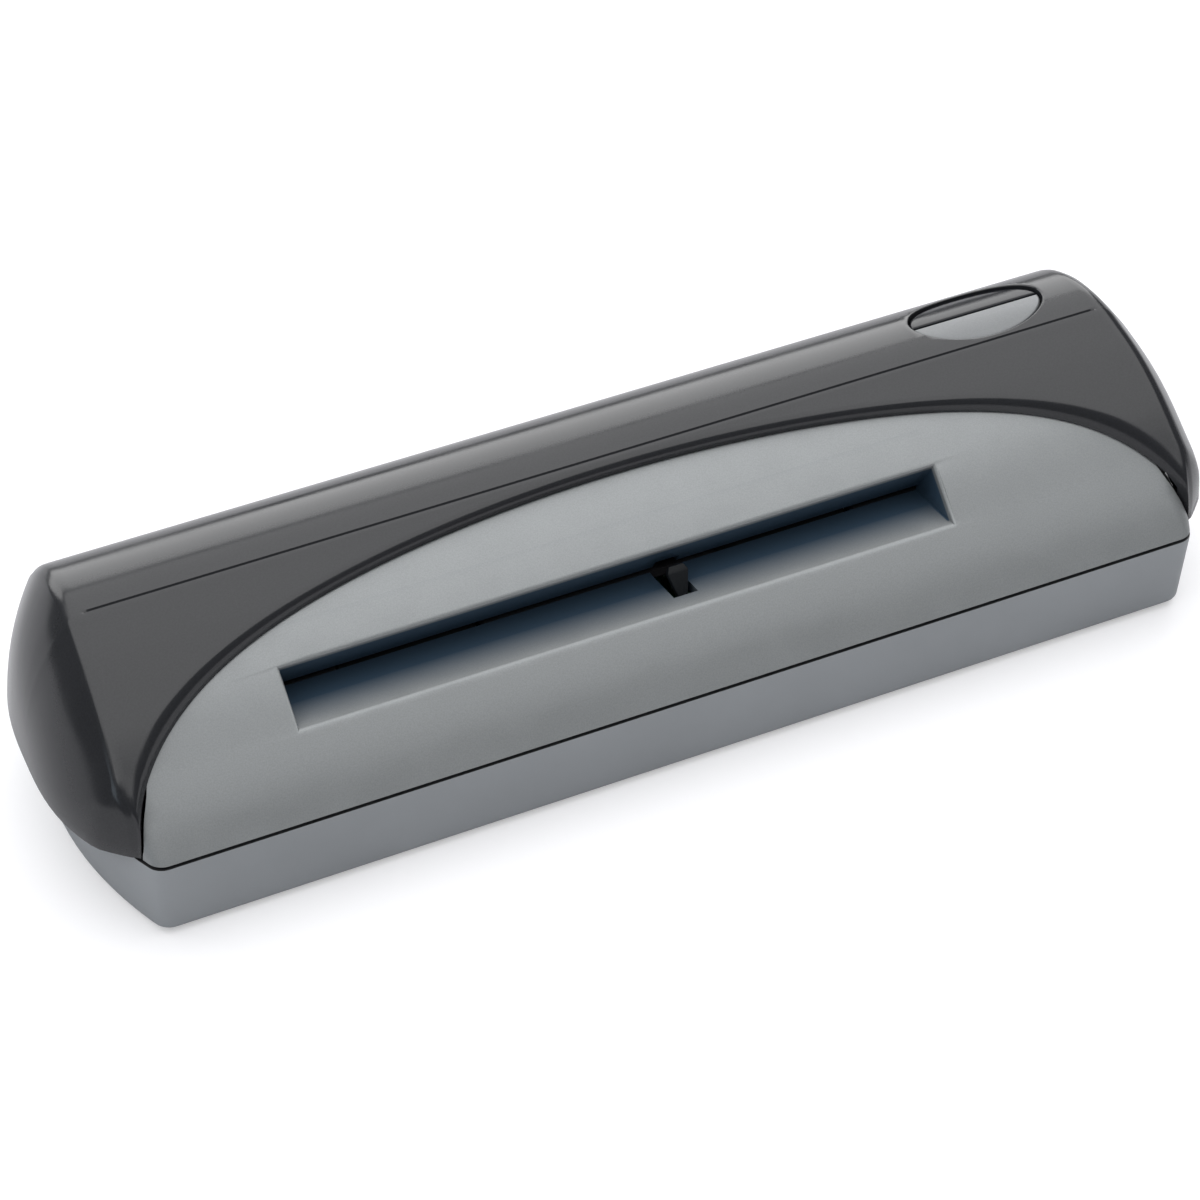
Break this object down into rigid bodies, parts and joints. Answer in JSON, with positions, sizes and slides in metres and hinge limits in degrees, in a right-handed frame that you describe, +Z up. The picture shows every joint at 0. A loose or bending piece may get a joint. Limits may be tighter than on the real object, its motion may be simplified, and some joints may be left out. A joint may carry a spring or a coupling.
{
  "type": "card scanner",
  "caption": "Sheet-fed card scanner: a long low case with an arched front panel, card slot, roller transport, image sensor and scan button.",
  "frame": {"origin": "middle of the case's footprint, on the surface that the rubber feet stand on", "axes": "+X along the case towards the scan button, -Y out of the front with the card slot, +Z up"},
  "size_m": [0.1894, 0.056, 0.0394],
  "materials": {
    "board_green": "solder resist",
    "bush_brass": "sintered",
    "button_silver": "satin silver",
    "cap_black": "moulded",
    "capacitor_sleeve": "printed sleeve, bare",
    "case_grey": "fine satin texture",
    "chip_black": "moulded",
    "connector_white": "moulded",
    "cover_charcoal": "glossy charcoal",
    "frame_black": "moulded",
    "gear_nylon": "moulded",
    "glass_clear": "polished",
    "led_clear": "clear lens",
    "lever_black": "moulded",
    "motor_steel": "plated can",
    "panel_silver": "silver-grey satin paint",
    "pinch_white": "moulded",
    "pinion_brass": "turned",
    "plunger_white": "moulded",
    "roller_rubber": "ground",
    "rubber_black": "matt",
    "screw_steel": "zinc plated",
    "sensor_black": "moulded",
    "shaft_steel": "ground",
    "sheet_steel": "plated sheet",
    "socket_steel": "plated",
    "strip_white": "matt white",
    "switch_black": "moulded",
    "tongue_black": "moulded",
    "window_dark": "dark smoked gloss"
  },
  "bodies": {
    "case": {"base": "case_grey", "button_board": "board_green", "button_switch": "switch_black", "capacitor": "capacitor_sleeve", "card_sensor": "chip_black", "case_screw_front_left": "screw_steel", "case_screw_front_right": "screw_steel", "case_screw_rear_left": "screw_steel", "case_screw_rear_right": "screw_steel", "controller_chip": "chip_black", "drive_motor": "motor_steel", "exit_bush_left": "bush_brass", "exit_bush_right": "bush_brass", "feed_bush_left": "bush_brass", "feed_bush_right": "bush_brass", "foot_front_left": "rubber_black", "foot_front_right": "rubber_black", "foot_rear_left": "rubber_black", "foot_rear_right": "rubber_black", "front_panel": "panel_silver", "idler_gear_axle": "shaft_steel", "image_sensor": "sensor_black", "main_board": "board_green", "memory_chip": "chip_black", "motor_bracket": "sheet_steel", "motor_connector": "connector_white", "motor_end_cap": "cap_black", "pinch_axle_exit": "shaft_steel", "pinch_axle_feed": "shaft_steel", "reduction_gear_axle": "shaft_steel", "reference_strip": "strip_white", "scan_frame": "frame_black", "sensor_connector": "connector_white", "sensor_glass": "glass_clear", "status_led": "led_clear", "status_window": "window_dark", "top_cover": "cover_charcoal", "upper_guide_front": "sheet_steel", "upper_guide_rear": "sheet_steel", "usb_socket": "socket_steel", "usb_tongue": "tongue_black"},
    "feed_roller": {"feed_roller_shaft": "shaft_steel", "feed_roller_left": "roller_rubber", "feed_roller_right": "roller_rubber", "feed_gear": "gear_nylon"},
    "exit_roller": {"exit_roller_shaft": "shaft_steel", "exit_roller_left": "roller_rubber", "exit_roller_right": "roller_rubber", "exit_gear": "gear_nylon"},
    "idler": {"idler_gear": "gear_nylon"},
    "reduction": {"reduction_gear": "gear_nylon"},
    "pinion": {"motor_pinion": "pinion_brass"},
    "pinch_feed_left": {"pinch_roller_feed_left": "pinch_white"},
    "pinch_feed_right": {"pinch_roller_feed_right": "pinch_white"},
    "pinch_exit_left": {"pinch_roller_exit_left": "pinch_white"},
    "pinch_exit_right": {"pinch_roller_exit_right": "pinch_white"},
    "button": {"scan_button": "button_silver", "switch_plunger": "plunger_white"},
    "sensing_lever": {"card_sensor_lever": "lever_black"}
  },
  "joints": [
    {"name": "feed_roller_spin", "type": "hinge", "parent": "case", "child": "feed_roller", "pos_m": [-0.0059, -0.002, 0.018], "axis": [1, 0, 0], "continuous": true},
    {"name": "exit_roller_spin", "type": "hinge", "parent": "case", "child": "exit_roller", "pos_m": [-0.0059, 0.016, 0.018], "axis": [1, 0, 0], "continuous": true},
    {"name": "idler_spin", "type": "hinge", "parent": "case", "child": "idler", "pos_m": [0.0539, 0.007, 0.018], "axis": [1, 0, 0], "continuous": true},
    {"name": "reduction_spin", "type": "hinge", "parent": "case", "child": "reduction", "pos_m": [0.0571, -0.01023, 0.01325], "axis": [1, 0, 0], "continuous": true},
    {"name": "pinion_spin", "type": "hinge", "parent": "case", "child": "pinion", "pos_m": [0.0571, -0.00072, 0.0088], "axis": [1, 0, 0], "continuous": true},
    {"name": "pinch_feed_left_spin", "type": "hinge", "parent": "case", "child": "pinch_feed_left", "pos_m": [-0.0369, -0.002, 0.0258], "axis": [1, 0, 0], "continuous": true},
    {"name": "pinch_feed_right_spin", "type": "hinge", "parent": "case", "child": "pinch_feed_right", "pos_m": [0.0251, -0.002, 0.0258], "axis": [1, 0, 0], "continuous": true},
    {"name": "pinch_exit_left_spin", "type": "hinge", "parent": "case", "child": "pinch_exit_left", "pos_m": [-0.0369, 0.016, 0.0258], "axis": [1, 0, 0], "continuous": true},
    {"name": "pinch_exit_right_spin", "type": "hinge", "parent": "case", "child": "pinch_exit_right", "pos_m": [0.0251, 0.016, 0.0258], "axis": [1, 0, 0], "continuous": true},
    {"name": "button_press", "type": "slide", "parent": "case", "child": "button", "axis": [0, 0, -1], "range_m": [0, 0.0006], "stiffness_N_per_m": 1500, "springref_m": -0.0003},
    {"name": "sensing_lever_swing", "type": "hinge", "parent": "case", "child": "sensing_lever", "pos_m": [0.0041, -0.0162, 0.0187], "axis": [1, 0, 0], "range_deg": [-42, 0], "stiffness_Nm_per_rad": 0.0004, "springref_deg": 22.92}
  ],
  "couplings": [
    {"joint": "exit_roller_spin", "follows": "feed_roller_spin", "ratio": 1},
    {"joint": "idler_spin", "follows": "feed_roller_spin", "ratio": -2},
    {"joint": "reduction_spin", "follows": "feed_roller_spin", "ratio": -1.7143},
    {"joint": "pinion_spin", "follows": "feed_roller_spin", "ratio": 5.4857},
    {"joint": "pinch_feed_left_spin", "follows": "feed_roller_spin", "ratio": -1.5},
    {"joint": "pinch_feed_right_spin", "follows": "feed_roller_spin", "ratio": -1.5},
    {"joint": "pinch_exit_left_spin", "follows": "feed_roller_spin", "ratio": -1.5},
    {"joint": "pinch_exit_right_spin", "follows": "feed_roller_spin", "ratio": -1.5}
  ]
}
